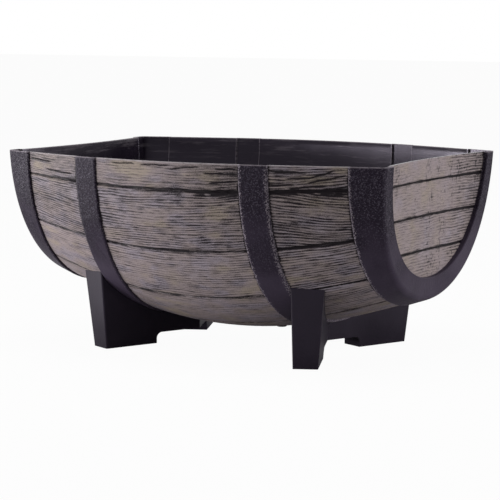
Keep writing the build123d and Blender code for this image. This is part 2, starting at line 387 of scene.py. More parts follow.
def painted_wood(name):
    """Black plastic under dry-brushed paint, which streaks and specks break up. The pieces
    carry cover, the share of paint left, in which painted shade is also held, tone, cool at -1
    and warm at 1, and rubbed, for the rim's light edge of rubbed paint and painted highlight."""
    f = Finish(name)
    streaks = f.noise(f.on_surface(STREAKS), 1.0, 3.0, 0.6)
    specks = f.noise(f.on_surface((1.0, 1.6, 1.0)), 480.0, 3.0, 0.65)
    cloud = f.noise(f.on_surface(), 26.0, 3.0, 0.55)
    tone = f.sum(f.carried("tone"), f.vary(cloud, -0.4, 0.4))
    cool = f.mix(f.spread(tone, -0.9, 0.0), PAINT_COOL, PAINT_GREY)
    paint = f.mix(f.spread(tone, 0.0, 0.9), cool, PAINT_WARM)
    broken = f.sum(f.spread(streaks, 0.28, 0.72, *STREAK_PAINT),
                   f.spread(specks, 0.28, 0.72, *SPECK_PAINT))
    cover = f.sum(f.carried("cover"), broken)
    wood = f.mix(f.spread(cover, -0.05, 1.0), BLACK, paint)
    # light rim edge on the staves: rubbed paint and painted highlight
    f.set(colour=f.mix(f.product(f.carried("rubbed"), RIM_WEAR_AND_HIGHLIGHT_SHARE), wood, RIM_WEAR_AND_HIGHLIGHT_PAINT),
          roughness=f.spread(cover, 0.0, 1.0, 0.5, 0.7), gloss=0.12)
    f.bump(f.sum(f.product(streaks, 0.6), f.product(specks, 0.5)), 0.0005, 0.7)
    return f.material


# Painted sheen: the hoops' base is painted lighter grey towards the bottom, fading to black
# between the first pair of heights
HOOP_PAINTED_SHEEN_FADE = (0.10, 0.27)  # heights between which the base goes from grey to black
HOOP_PEBBLES_AND_GLINTS = (0.150, 0.290)  # and the skin from smooth to pebbled
HOOP_RAGGED = 0.04          # how far both wander up and down
PAINTED_GLINT_SHARE = 0.42
EDGE_FLECKS = 0.18          # how much more the edges are flecked with paint
EDGE_SHARE = 0.75


def hoop_plastic(name):
    """Near-black plastic, pebbled towards the rim with light specks that are painted glints,
    and satin below, painted lighter grey towards the bottom as painted sheen. Paint is rubbed
    on in flecks where the pieces carry an edge, fuller on the right hoops as painted highlight,
    and the rim's top edge has rubbed paint and painted highlight."""
    f = Finish(name)
    where = f.on_object()
    cloud = f.noise(where, 11.0, 3.0)
    ragged = f.sum(f.along("Z"), f.vary(f.noise(where, 14.0), -HOOP_RAGGED, HOOP_RAGGED))
    # painted sheen: lighter grey towards the bottom
    base = f.mix(f.spread(ragged, *HOOP_PAINTED_SHEEN_FADE), colour(62, 54, 68),
                 f.mix(cloud, colour(19, 13, 23), colour(32, 25, 37)))
    upper = f.spread(ragged, *HOOP_PEBBLES_AND_GLINTS, 0.12, 1.0)
    skin = f.sum(f.noise(where, 800.0, 2.0, 0.6), f.noise(where, 380.0, 2.0, 0.6))
    # light specks on the pebbles, fuller towards the rim: painted glints
    specks = f.product(f.spread(skin, 0.98, 1.28), upper)
    with_painted_glints = f.mix(f.product(specks, PAINTED_GLINT_SHARE), base, colour(126, 119, 134))
    # paint flecks on the hoops' edges, with painted highlight where the right hoops carry more
    edge = f.carried("edge")
    flecks = f.sum(f.product(edge, EDGE_FLECKS), f.noise(where, 420.0, 3.0, 0.65))
    rubbed = f.product(f.spread(flecks, 0.61, 0.78), f.spread(edge, 0.0, 0.35))
    flecked = f.mix(f.product(rubbed, EDGE_SHARE), with_painted_glints, PAINT_COOL)
    f.set(colour=f.rim_wear_and_highlight(flecked), roughness=f.vary(cloud, 0.42, 0.54), gloss=0.11,
          gloss_tint=VIOLET)
    f.bump(f.product(skin, upper), 0.0010, 1.0)
    return f.material


# Marks on the inside of the trough: light lines at the edges of the hollows behind the
# hoops, rubbed paint and painted highlight, scuffs along the upper wall, and how the wall
# leans back and waves below the rim
CHANNEL_EDGES = (INNER_HOOP[0] + 0.0016, INNER_HOOP[1] - 0.0016, END_HOOP_START + 0.0016)
CHANNEL_EDGE_WIDTH = 0.0014
CHANNEL_EDGE_WEAR_AND_HIGHLIGHT = 0.55
SCUFFS = (16.0, 16.0, 150.0)  # to the metre
SCUFF_DEPTH = (0.060, 0.010)  # below the rim, where scuffs start and are most
SCUFF_SHARE = 0.22
LEAN = 0.0053
LEAN_FROM, LEAN_TO = RIM - 0.083, RIM + 0.030
WAVE = 0.0006
INSIDE_GRAIN = 0.00005


def satin_plastic(name, gloss, rough, dark, light, inside=False):
    """Near-black moulded plastic with a clouded, slightly grained skin. The inside of the
    trough is scuffed and rubbed too, with light lines at the edges of its hollows that are
    partly painted highlight, and its wall leans back a little more than its mesh. The rim's
    top edge has rubbed paint and painted highlight."""
    f = Finish(name)
    where = f.on_object()
    cloud = f.noise(where, 9.0, 3.0)
    grain = f.noise(where, 300.0)
    base = f.mix(cloud, colour(*dark), colour(*light))
    if inside:
        scuffs = f.product(
            f.spread(f.noise(f.on_object(SCUFFS), 1.0, 3.0, 0.6), 0.50, 0.74),
            f.spread(f.along("Z"), RIM - SCUFF_DEPTH[0], RIM - SCUFF_DEPTH[1]))
        # light lines at the hollows' edges: rubbed paint and painted highlight
        worn = f.product(f.upright_lines(CHANNEL_EDGES, CHANNEL_EDGE_WIDTH),
                         f.spread(f.noise(where, 220.0), 0.3, 0.6, 0.35, 1.0))
        base = f.mix(f.product(scuffs, SCUFF_SHARE), base, PAINT_COOL)
        base = f.mix(f.product(worn, CHANNEL_EDGE_WEAR_AND_HIGHLIGHT), base, PAINT_COOL)
        lean = f.spread(f.along("Z"), LEAN_FROM, LEAN_TO, LEAN, 0.0)
        waves = f.product(f.noise(f.on_object((1.0, 1.0, 0.3)), 30.0), WAVE)
        f.bump(f.sum(f.sum(lean, waves), f.product(grain, INSIDE_GRAIN)), 1.0)
    else:
        f.bump(grain, 0.0003, 0.5)
    f.set(colour=f.rim_wear_and_highlight(base), gloss=gloss, gloss_tint=VIOLET,
          roughness=f.vary(cloud, rough - 0.05, rough + 0.06))
    return f.material


def plated_steel(name):
    """Zinc-plated steel, with fine turning marks in its roughness."""
    f = Finish(name)
    grain = f.noise(f.on_object((1, 1, 6)), 900.0)
    f.set(colour=f.mix(grain, colour(150, 150, 152), colour(190, 189, 186)), metal=1.0,
          roughness=f.vary(grain, 0.28, 0.42))
    f.bump(grain, 0.0001, 0.4)
    return f.material


def dull_rubber(name):
    """Dull black rubber with a faint bloom."""
    f = Finish(name)
    cloud = f.noise(f.on_object(), 120.0, 4.0)
    f.set(colour=f.mix(cloud, colour(20, 19, 21), colour(40, 38, 41)),
          roughness=f.vary(cloud, 0.6, 0.8), gloss=0.2)
    f.bump(f.noise(f.on_object(), 700.0), 0.0002, 0.4)
    return f.material


WOOD = painted_wood("dry_brushed_wood")
HOOP = hoop_plastic("pebbled_hoop_plastic")
INSIDE = satin_plastic("satin_inside_plastic", 0.21, 0.22, (20, 15, 24), (33, 27, 38),
                       inside=True)
FOOT = satin_plastic("foot_plastic", 0.32, 0.34, (19, 14, 23), (32, 26, 37))
STEEL = plated_steel("zinc_plated_steel")
RUBBER = dull_rubber("washer_rubber")


SEAMS = [float(distance_at(place)) for place in SEAM_PLACES]  # distances from the rim
STAVES = len(SEAMS)         # between the rim and the bottom, on each side
BAYS = {"left": (-END_HOOP_START, -INNER_HOOP[1]), "middle": (-INNER_HOOP[0], INNER_HOOP[0]),
        "right": (INNER_HOOP[1], END_HOOP_START)}
BAY_SEEDS = {"left": 100, "middle": 200, "right": 300}
BACK_SEED = 50              # added to a bay's seed at the back
STAVE_SHIFT = 0.31          # moves the grain of each next stave to another place

# How each stave of a bay is grained, from the rim down: fall of the grain to the right,
# spacing of its lines, and how deep they are
GRAIN_FALL = {"left": (0.055, 0.07, 0.0, 0.0, 0.0),
              "middle": (0.0, -0.03, 0.0, 0.0, 0.0),
              "right": (-0.06, 0.18, -0.01, 0.0, 0.0)}
LINE_SPACING = {"left": (0.0045, 0.0043, 0.0046, 0.005, 0.006),
                "middle": (0.0046, 0.0044, 0.0046, 0.0055, 0.006),
                "right": (0.0050, 0.0054, 0.0056, 0.006, 0.006)}
LINE_STRENGTH = {"left": (0.60, 0.75, 0.50, 0.45, 0.40),
                 "middle": (0.50, 0.85, 0.70, 0.50, 0.45),
                 "right": (0.95, 1.0, 1.0, 0.75, 0.5)}
# How much less paint the staves of a bay have: painted shade that darkens the upper staves
PAINTED_STAVE_SHADE = {"left": (0.22, 0.16, 0.0, 0.0, 0.0),
              "middle": (0.16, 0.08, 0.0, 0.0, 0.0),
              "right": (0.15, 0.20, 0.05, 0.0, 0.0)}
# How dark the seams of a bay are, half their width, and the slope of their sides
SEAM_STRENGTH = {"left": (0.32, 0.70, 0.75, 0.8, 0.8),
                 "middle": (0.48, 0.75, 0.80, 0.9, 0.9),
                 "right": (1.0, 1.0, 1.0, 1.0, 1.0)}
SEAM_WIDTH = {"left": 0.0024, "middle": 0.0024, "right": 0.0030}
SEAM_SIDE = 0.0014

# Long cracks, as points at x and distance from the rim, with their half width
CRACKS = (
    (0.0009, (-0.094, 0.0063), (-0.052, 0.0052)),
    (0.0009, (-0.0385, 0.0063), (0.0115, 0.0059)),
    (0.0010, (0.018, 0.0115), (0.040, 0.0080), (0.066, 0.0059)),
    (0.0012, (0.0755, 0.0159), (0.127, 0.0159)),
    (0.0011, (0.0955, 0.0089), (0.1265, 0.0070)),
    (0.0012, (0.0845, 0.0300), (0.126, 0.0278)),
    (0.0013, (0.1785, 0.0100), (0.222, 0.0107)),
    (0.0014, (0.206, 0.0218), (0.2375, 0.0211), (0.260, 0.0148), (0.2745, 0.0067)),
    (0.0014, (0.2375, 0.0293), (0.262, 0.0245), (0.291, 0.0163)),
    (0.0014, (0.178, 0.0326), (0.2145, 0.0330)),
    (0.0014, (0.209, 0.0389), (0.2595, 0.0355)),
    (0.0011, (-0.290, 0.0120), (-0.240, 0.0150)),
    (0.0011, (-0.250, 0.0300), (-0.190, 0.0325)),
)

# Patches of another tone: middle, half length, half width, tone and what the paint gains
PATCHES = (
    (-0.045, 0.019, 0.045, 0.012, 0.6, 0.30),
    (0.030, 0.024, 0.035, 0.010, 0.7, 0.20),
    (0.243, 0.025, 0.028, 0.010, 1.3, -0.15),
    (-0.275, 0.028, 0.018, 0.014, 0.9, 0.10),
    (0.010, 0.052, 0.030, 0.012, -1.0, -0.12),
    (0.037, 0.133, 0.030, 0.012, -0.8, -0.05),
)

# Bands of bare shade along the first seam: end points at x and distance, and half width
SHADE_BANDS = (
    ((0.062, 0.0478), (0.131, 0.0475), 0.0052),
    ((0.177, 0.0458), (0.295, 0.0502), 0.0042),
)

# Depth of each mark in the staves, and the share of paint that it takes off
FURROW_DEPTH, FURROW_BARE = 0.0007, 0.92
CRACK_DEPTH, CRACK_BARE = 0.0011, 0.85
BAND_DEPTH, BAND_BARE = 0.0004, 0.75
SEAM_DEPTH, SEAM_BARE = 0.0021, 0.95
GRIT_DEPTH = 0.00015
SHADOW_BARE = 0.28          # along the seams
WORN_BARE = 0.65            # at the ends of a bay, next to the hoops
BLOTCH_BARE = 0.16
FULL_PAINT = 1.06
DEEPEST = 0.0026
COVER_RANGE = (-0.1, 1.1)


def along_line(x, v, points, width, fade):
    """1 on a bent line, falling off on both sides as a bell of that half width, and fading
    out beyond its ends."""
    line_x, line_v = np.array(points).T
    bell = np.exp(-((v - np.interp(x, line_x, line_v)) / width) ** 2)
    inside = np.minimum(x - line_x[0], line_x[-1] - x)
    return bell * blend(-fade, fade, inside)


def grain_lines(x, across, spacing, seed):
    """Furrows between 0 and 1: narrow troughs of a cosine whose phase wanders, each deeper
    and shallower along its length by a noise of its own."""
    phase = across / spacing + 0.30 * noise(x, across, 0.045, 0.009, seed)
    trough = (0.5 + 0.5 * np.cos(2 * np.pi * phase)) ** 1.5
    line = np.round(phase) * 5.0
    wear = noise(x, line, 0.024, 1.0, seed + 1) + 0.5 * noise(x, line, 0.006, 1.0, seed + 2)
    return trough * (0.42 + 0.58 * blend(-0.7, 0.7, wear))


def long_marks(x_read, x, v, seed):
    """Cracks and bands of bare shade between 0 and 1. X_read is where the mark is read from
    its table, so the back has the front's marks mirrored."""
    ragged = v + 0.0006 * noise(x, v, 0.007, 0.006, seed + 8)
    cracks = sum(along_line(x_read, ragged, points, width, 0.004) for width, *points in CRACKS)
    bands = sum(along_line(x_read, v, (start, stop), width, 0.012)
                for start, stop, width in SHADE_BANDS)
    bands = bands * blend(-0.9, 0.1, noise(x, v, 0.012, 0.004, seed + 9))
    return np.minimum(cracks, 1.0), bands


def seam_marks(x, v, bay, seed):
    """Seams between 0 and 1: their depth, the paint they take off, and the shade beside
    them."""
    gaps = np.abs(v[..., None] - np.array(SEAMS))
    gap, nearest = gaps.min(axis=-1), gaps.argmin(axis=-1)
    ragged = 0.0006 * noise(x, v, 0.008, 0.01, seed + 10)
    depth = 1 - blend(SEAM_WIDTH[bay] - SEAM_SIDE, SEAM_WIDTH[bay], gap + ragged)
    patchy = 0.8 + 0.4 * noise(x, v, 0.030, 0.02, seed + 15)
    bare = np.clip(depth * np.array(SEAM_STRENGTH[bay])[nearest] * patchy, 0, 1)
    shadow = 1 - blend(0.001, 0.006, gap + 0.003 * noise(x, v, 0.03, 0.02, seed + 11))
    return depth, bare, shadow


def patch_marks(x_read, v):
    """What the patches add to the tone and the paint: a bell in both directions each."""
    tone, gain = np.zeros_like(v), np.zeros_like(v)
    for middle_x, middle_v, length, width, shift, more in PATCHES:
        inside = np.exp(-((x_read - middle_x) / length) ** 2 - ((v - middle_v) / width) ** 2)
        tone = tone + shift * inside
        gain = gain + more * inside
    return tone, gain


def stave_look(x, v, bay, side):
    """Depth below the stave's face, paint cover, tone, and the distance across the grain,
    from close lines, finer streaks, a few long cracks, patches and the seams, and painted
    shade on the upper staves and towards one end of the middle bay."""
    seed = BAY_SEEDS[bay] + (BACK_SEED if side > 0 else 0)
    x_read = -x if side > 0 else x
    stave = np.minimum(np.searchsorted(SEAMS, v), STAVES - 1)
    fall, spacing, strength, less = (
        np.array(table[bay])[stave]
        for table in (GRAIN_FALL, LINE_SPACING, LINE_STRENGTH, PAINTED_STAVE_SHADE))
    across = v - fall * (x - sum(BAYS[bay]) / 2) + stave * STAVE_SHIFT
    across = across + 0.0022 * noise(x, across, 0.055, 0.020, seed + 1)
    lines = 0.92 * grain_lines(x, across, spacing, seed + 2) * strength
    streaks = blend(0.25, 0.85, noise(x, across, 0.018, 0.0016, seed + 5))
    grit = noise(x, v, 0.0030, 0.0012, seed + 6)
    plain = blend(0.3, 0.8, noise(x, v + stave * 0.5, 0.050, 0.018, seed + 7))
    furrow = np.clip((lines + 0.35 * streaks * strength) * (1 - 0.5 * plain), 0, 1.2)
    cracks, bands = long_marks(x_read, x, v, seed)
    seam_depth, seam, shadow = seam_marks(x, v, bay, seed)
    ends = np.minimum(x - BAYS[bay][0], BAYS[bay][1] - x)
    worn = 1 - blend(0.0, 0.0030, ends + 0.0013 * noise(x, v, 0.020, 0.0070, seed + 12))
    blotch = blend(0.1, 0.8, noise(x, v, 0.035, 0.012, seed + 13))
    tone = 0.7 * plain - 0.6 * blotch + 0.5 * noise(x, v, 0.05, 0.02, seed + 14) - 0.15
    patch_tone, gain = patch_marks(x_read, v)
    depth = (FURROW_DEPTH * furrow + CRACK_DEPTH * cracks + BAND_DEPTH * bands
             + SEAM_DEPTH * seam_depth + GRIT_DEPTH * (grit + 1))
    # painted shade: the middle bay loses more paint towards its right end at the front, and
    # towards its left end at the back
    less = less * (1 + 1.2 * blend(0.02, 0.12, x_read) * (x_read < INNER_HOOP[0]))
    cover = (FULL_PAINT - less - FURROW_BARE * furrow - CRACK_BARE * cracks
             - BAND_BARE * bands - SEAM_BARE * seam - SHADOW_BARE * shadow - WORN_BARE * worn
             - BLOTCH_BARE * blotch * (1 - plain) + gain * (1 - furrow))
    return (np.clip(depth, 0, DEEPEST), np.clip(cover, *COVER_RANGE), tone + patch_tone,
            across)


def wooden_panel(name, outer, inner, along, across, fields):
    """Slab with painted wood in front and the trough's inside behind. The fields and the
    places along and across the grain belong to the front, and are 0 behind."""
    points, faces = slab(outer, inner)
    behind = np.zeros(len(points) - across.size)
    fields = {key: np.concatenate((values.ravel(), behind)) for key, values in fields.items()}
    uv = np.stack([np.concatenate((values.ravel(), behind)) for values in (along, across)],
                  axis=-1)
    return new_piece(name, points, faces, [WOOD, INSIDE], (0, 1, 1, 1), fields, uv)


STAVE_STEP = 0.0009         # distance between the rows of a panel
STAVE_COLUMNS = {"left": 72, "middle": 168, "right": 72}
STAVE_RIM = np.array((0.0, 0.00025, 0.0006, RIM_ROUND * 1.2))  # first rows, at the rim


def stave_panel(bay, side):
    """Half a bay of staves: the barrel's surface from the rim to the bottom seam, set in by
    the relief, with the inside a wall behind it."""
    rows = int(round(GIRTH / STAVE_STEP / COARSER)) * COARSER
    v = np.concatenate((STAVE_RIM, np.linspace(STAVE_RIM[-1], GIRTH, rows - 2)[1:]))
    x = np.linspace(*BAYS[bay], STAVE_COLUMNS[bay] + 1)
    grid_v, grid_x = np.meshgrid(v, x, indexing="ij")
    depth, cover, tone, across = stave_look(grid_x, grid_v, bay, side)
    top = rounding(grid_v, RIM_ROUND)
    place = place_at(grid_v)
    outer = barrel_point(grid_x, place, side, STAVE_INSET + depth + top)
    inner = barrel_point(grid_x[COARSE], place[COARSE], side, INSIDE_INSET - top[COARSE])
    # light top edge of the rim: rubbed paint and painted highlight
    rubbed = 1 - blend(0.0006, 0.0026, grid_v)
    rubbed = rubbed * (0.8 + 0.3 * noise(grid_x, grid_v, 0.006, 0.01, 90))
    name = f"staves_{bay}_{'front' if side < 0 else 'back'}"
    return wooden_panel(name, outer, inner, grid_x, across,
                        {"cover": cover, "tone": tone, "rubbed": np.clip(rubbed, 0, 1)})


pieces = [stave_panel(bay, side) for bay in BAYS for side in (-1, 1)]


HOOP_STEP = 0.0012          # distance between stations round a hoop
HOOP_RIM = np.array((0.0, 0.0003, 0.0008))  # first stations, at the rim
HOOP_RIM_END = 0.0015
SHOULDER = 0.0040           # width of a hoop's rounded shoulders
TURN = np.linspace(0, np.pi / 2, 7)  # angles round a shoulder, its top first
SHOULDER_SINK = 0.001       # how far a shoulder's foot runs into the staves
PEBBLE_DEPTH = 0.00028
FACE_STEPS = 34
# the right hoops' edges get four times the flecks of the left ones: painted highlight on the
# right hoops, painted shade on the left
EDGE_PAINT_AND_HIGHLIGHT = {-1: 0.25, 1: 1.0}  # paint rubbed on the edges of the left and right hoops


def pebbles(x, v, side):
    """Depth of the hoops' pebbled skin: two sizes of noise, fuller towards the rim."""
    seeds = np.where(side < 0, 0.0, 3.0)
    coarse = noise(x, v + seeds, 0.0026, 0.0026, 700)
    fine = noise(x, v + seeds, 0.0015, 0.0015, 701)
    fullness = 1 - 0.55 * blend(0.08, 0.22, v)
    return PEBBLE_DEPTH * fullness * (1 + 0.6 * coarse + 0.4 * fine)


def edge_flecks_and_highlight(turned, sign):
    """Paint rubbed on a hoop at a distance from its edge, in widths of its shoulder: all of
    it up to a third of one, fading out at two. The right hoops get more than the left, as
    painted highlight."""
    return (1 - blend(0.35, 2.1, turned)) * EDGE_PAINT_AND_HIGHLIGHT[sign]


def band_stations():
    """Distances from the rim round the whole barrel, from the front rim to the back one,
    closer together at the rims, and the side that each lies on."""
    steps = np.linspace(HOOP_RIM_END, GIRTH, int(GIRTH / HOOP_STEP))
    half = np.concatenate((HOOP_RIM, steps))
    side = np.concatenate((-np.ones(len(half)), np.ones(len(half) - 1)))
    return np.concatenate((half, half[-2::-1])), side


def swept(name, profile, finish_of, edge):
    """Closed band: rows of profile points, one row for each station, with flat ends. Finish
    is 0 for the hoop's plastic and 1 for the inside, and edge its rubbed edges, which are
    partly painted highlight."""
    index = numbered(*profile.shape[:2])
    skin = quads(np.pad(index, ((0, 0), (0, 1)), mode="wrap"))[..., [0, 3, 2, 1]]
    groups = [skin[:, finish_of == n].reshape(-1, 4) for n in (0, 1)]
    caps = [index[:1, ::-1], index[-1:]]
    return new_piece(name, profile.reshape(-1, 3), groups + caps, [HOOP, INSIDE],
                     (0, 1, 0, 0), {"edge": np.broadcast_to(edge, index.shape).ravel()})


def inner_hoop(name, sign):
    """A hoop with rounded shoulders: its face is the barrel's surface at inset 0, and its
    back lies a wall's thickness behind it."""
    near, far = INNER_HOOP
    shoulder_x = SHOULDER * (1 - np.sin(TURN))
    shoulder_inset = STAVE_INSET * (1 - np.cos(TURN))
    face_x = np.linspace(near + SHOULDER, far - SHOULDER, FACE_STEPS)
    back_near, back_far = near + HOOP_BACK_MARGIN, far - HOOP_BACK_MARGIN
    back_x = [far, back_far, back_far, back_near, back_near, near]
    back_inset = [INSIDE_INSET, INSIDE_INSET, WALL, WALL, INSIDE_INSET, INSIDE_INSET]
    foot = [STAVE_INSET + SHOULDER_SINK]
    xs = np.concatenate(([near], near + shoulder_x[:0:-1], face_x, (far - shoulder_x)[1:],
                         [far], back_x))
    insets = np.concatenate((foot, shoulder_inset[:0:-1], np.zeros(FACE_STEPS),
                             shoulder_inset[1:], foot, back_inset))
    v, side = band_stations()
    front = len(xs) - len(back_x)
    outside = np.arange(len(xs)) < front
    top = rounding(v, RIM_ROUND)[:, None]
    skin = pebbles(sign * xs[None, :], v[:, None], side[:, None])
    inset = insets[None, :] + np.where(outside, top + skin, -top)
    points = barrel_point(np.broadcast_to(sign * xs, inset.shape), place_at(v)[:, None],
                          side[:, None], inset)
    turned = np.minimum(xs - near, far - xs) / SHOULDER
    return swept(name, points, np.where(np.arange(len(xs)) < front - 1, 0, 1),
                 np.where(outside, edge_flecks_and_highlight(turned, sign), 0.0))


def end_point(y, drop, setback):
    """Point in front of or behind an end face, on the right: drop down along the face from
    the rim, and setback into the barrel along its normal."""
    x = LENGTH / 2 - (END_SLOPE * drop + setback) / NORMAL_LENGTH
    z = RIM - (drop - END_SLOPE * setback) / NORMAL_LENGTH
    return np.stack(np.broadcast_arrays(x, y, z), axis=-1)


END_ROUNDS = 8              # enough for the end's place to settle


def end_x(place, inset, setback):
    """Where the barrel's surface meets the end face moved in by setback: found by putting
    the depth at the last x back into the face's slope a few times."""
    down = unit_curve(place)[1]
    x = np.full(np.shape(place), LENGTH / 2)
    for _ in range(END_ROUNDS):
        depth = down * (END_DEPTH + swell(x) - inset)
        x = LENGTH / 2 - END_SLOPE * depth - setback * NORMAL_LENGTH
    return x


def head_setback(y, drop):
    """How far the boards lie behind the lip: the recess and the bow, which falls away as a
    parabola towards the sides and in a straight line towards the bottom."""
    bow = HEAD_BOW * (1 - drop / BOW_DEPTH)
    return HEAD_RECESS + bow * (1 - (y / HEAD_REACH) ** 2)


LIP_EDGE = 0.0012           # chamfer between the lip and the pocket
POCKET_SINK = 0.0022        # how far the pocket's wall runs on behind the boards
CORNER_TURNS = 8
BAND_STEPS = 30
BAND_SHOULDERS = 9.0        # width of an end hoop, in widths of its shoulder
LIP_STEPS = 14
LIP_PEBBLES = (0.31, 0.0018)  # where the lip's pebbles are read, and the step between rows


def end_ring(name, sign):
    """End hoop, rounded corner, lip and the wall of the pocket in one band, with the
    channel behind them. The corner is a quadratic curve between the band and the lip."""
    v, side = band_stations()
    place, v, side = place_at(v)[:, None], v[:, None], side[:, None]
    out, down = unit_curve(place)

    def on_barrel(x, inset):
        return barrel_point(np.broadcast_to(x, place.shape), place, side, inset)

    x_end = end_x(place, 0.0, 0.0)
    corner = on_barrel(x_end, 0.0)
    y_in, drop_in = side * out * (END_HALF_WIDTH - LIP_WIDTH), down * (END_DEPTH - LIP_WIDTH)
    y_out, drop_out = y_in + side * out * WALL, drop_in + down * WALL
    pocket = end_point(y_in, drop_in, 0.0)
    across = pocket - corner
    across = across / np.linalg.norm(across, axis=-1, keepdims=True)
    shoulder = [on_barrel(END_HOOP_START + SHOULDER * (1 - math.sin(a)),
                          STAVE_INSET * (1 - math.cos(a))) for a in TURN[::-1]]
    shares = np.linspace(0, 1, BAND_STEPS)[1:]
    band = []
    for share in shares:
        x = (END_HOOP_START + SHOULDER) * (1 - share) + (x_end - END_CORNER) * share
        band.append(on_barrel(x, pebbles(sign * x, v, side)))
    lip_start = corner + across * END_CORNER
    bend = [(1 - s) ** 2 * band[-1] + 2 * s * (1 - s) * corner + s * s * lip_start
            for s in np.linspace(0, 1, CORNER_TURNS)[1:]]
    lip = [lip_start + (pocket - lip_start) * s for s in np.linspace(0, 1, LIP_STEPS)[1:-1]]
    for n, row in enumerate(lip):
        row[..., 0] -= pebbles(LIP_PEBBLES[0] + LIP_PEBBLES[1] * n, v, side)
    lip.append(pocket - across * LIP_EDGE)
    wall = [end_point(y_in, drop_in, LIP_EDGE),
            end_point(y_in, drop_in, head_setback(y_in, drop_in) + POCKET_SINK)]
    back_wall = [end_point(y_out, drop_out, head_setback(y_out, drop_out) + WALL),
                 end_point(y_out, drop_out, WALL)]
    channel_start = END_HOOP_START + HOOP_BACK_MARGIN
    channel = [on_barrel(end_x(place, WALL, WALL), WALL), on_barrel(channel_start, WALL),
               on_barrel(channel_start, INSIDE_INSET), on_barrel(END_HOOP_START, INSIDE_INSET)]
    rows = np.concatenate(shoulder + band + bend + lip + wall + back_wall + channel, axis=1)
    rows[..., 2] = np.minimum(rows[..., 2], RIM)
    rows[..., 0] *= sign
    front = len(shoulder + band + bend + lip) + 1
    turned = np.concatenate((1 - np.sin(TURN[::-1]), 1 + shares * BAND_SHOULDERS))
    edge = np.zeros(rows.shape[1])
    edge[:len(turned)] = edge_flecks_and_highlight(turned, sign)
    return swept(name, rows, np.where(np.arange(rows.shape[1]) < front, 0, 1), edge)


for sign, word in ((-1, "left"), (1, "right")):
    pieces.append(inner_hoop(f"hoop_inner_{word}", sign))
    pieces.append(end_ring(f"hoop_end_{word}", sign))


# Grain of the head's boards, from the rim down: spacing and depth of its lines
HEAD_SPACING = (0.0046, 0.0046, 0.0042, 0.0050)
HEAD_STRENGTH = (0.30, 0.32, 0.62, 0.60)
HEAD_SHIFT = 0.2            # moves the grain of each next board to another place
HEAD_SEEDS = {-1: 600, 1: 500}
KNOT = (0.006, 0.062, 0.0045)  # y, drop and radius

# Depth of each mark in the boards, and the share of paint that it takes off
BOARD_FURROW_DEPTH, BOARD_FURROW_BARE = 0.0005, 0.6
SPECK_DEPTH, SPECK_BARE = 0.0003, 0.42
KNOT_DEPTH, KNOT_BARE = 0.0006, 0.4
BOARD_GRIT_DEPTH = 0.0001
BOARD_SIDE_BARE = 0.2


def head_look(y, drop, sign):
    """Depth, cover, tone and distance across the grain of the head boards: smoother than the
    staves, with specks in patches, fine grain towards one side, and one small knot."""
    seed = HEAD_SEEDS[sign]
    board = np.searchsorted(HEAD_SEAMS, drop)
    across = drop + board * HEAD_SHIFT + 0.0020 * noise(y, drop, 0.05, 0.02, seed)
    strength = np.array(HEAD_STRENGTH)[board] + 0.9 * blend(0.04, 0.11, y)
    strength = np.clip(strength + 0.35 * noise(y, drop, 0.04, 0.02, seed + 4), 0, 1.2)
    furrow = grain_lines(y, across, np.array(HEAD_SPACING)[board], seed + 1) * strength
    grit = noise(y, drop, 0.0022, 0.0016, seed + 9)
    patch = blend(0.0, 0.5, noise(y, drop, 0.013, 0.05, seed + 5))
    specks = blend(0.25, 0.75, noise(y, drop, 0.0021, 0.0042, seed + 6)) * patch
    knot = np.exp(-((y - KNOT[0]) ** 2 + (drop - KNOT[1]) ** 2) / KNOT[2] ** 2)
    gap = np.min(np.abs(drop[..., None] - np.array(HEAD_SEAMS)), axis=-1)
    seam = 1 - blend(0.0008, 0.0020, gap + 0.0004 * noise(y, drop, 0.01, 0.01, seed + 7))
    shadow = 1 - blend(0.001, 0.005, gap + 0.002 * noise(y, drop, 0.02, 0.01, seed + 10))
    depth = (BOARD_FURROW_DEPTH * furrow + SPECK_DEPTH * specks + KNOT_DEPTH * knot
             + SEAM_DEPTH * seam + BOARD_GRIT_DEPTH * (grit + 1))
    cover = (1.0 - BOARD_FURROW_BARE * furrow - SPECK_BARE * specks - KNOT_BARE * knot
             - SEAM_BARE * seam - SHADOW_BARE * shadow - BOARD_SIDE_BARE * blend(0.08, 0.17, y))
    tone = -0.05 + 0.4 * noise(y, drop, 0.05, 0.03, seed + 8)
    return depth, np.clip(cover, *COVER_RANGE), tone, across


HEAD_COLUMNS = 216
HEAD_ROWS = 240
HEAD_SINK = 0.002           # how far the boards run into the wall of the pocket
HEAD_LAST = 0.9965          # the last row, short of the bottom, where they'd meet


def head_surface(y, drop, down, behind, relief, sign):
    """Points set back from the lip by the recess and bow, by a distance behind the boards,
    and by their relief. Down is the share of the depth: towards the rim the face's lean is
    made up for, so that the first row stays at the rim."""
    setback = head_setback(y, drop) + behind
    points = end_point(y, drop + END_SLOPE * setback * (1 - down), setback + relief)
    points[..., 2] = np.minimum(points[..., 2], RIM)
    points[..., 0] *= sign
    return points


def head(name, sign):
    """Head boards: rows at the widths and depths of the section curve, with a back a wall
    behind. Their border is buried in the wall of the pocket."""
    half_width = END_HALF_WIDTH - LIP_WIDTH + HEAD_SINK
    deep = END_DEPTH - LIP_WIDTH + HEAD_SINK
    table = arc_table(half_width, deep)
    place = np.interp(np.linspace(0, HEAD_LAST, HEAD_ROWS + 1) * table[-1], table, PLACES)
    out, down = unit_curve(place[:, None])
    y = out * half_width * np.linspace(-1, 1, HEAD_COLUMNS + 1)
    drop = down * deep + 0 * y
    depth, cover, tone, across = head_look(y, drop, sign)
    outer = head_surface(y, drop, down, 0.0, depth, sign)
    inner = head_surface(y[COARSE], drop[COARSE], down[::COARSER], WALL, 0.0, sign)
    return wooden_panel(name, outer, inner, y, across, {"cover": cover, "tone": tone})


pieces.append(head("head_left", -1))
pieces.append(head("head_right", 1))


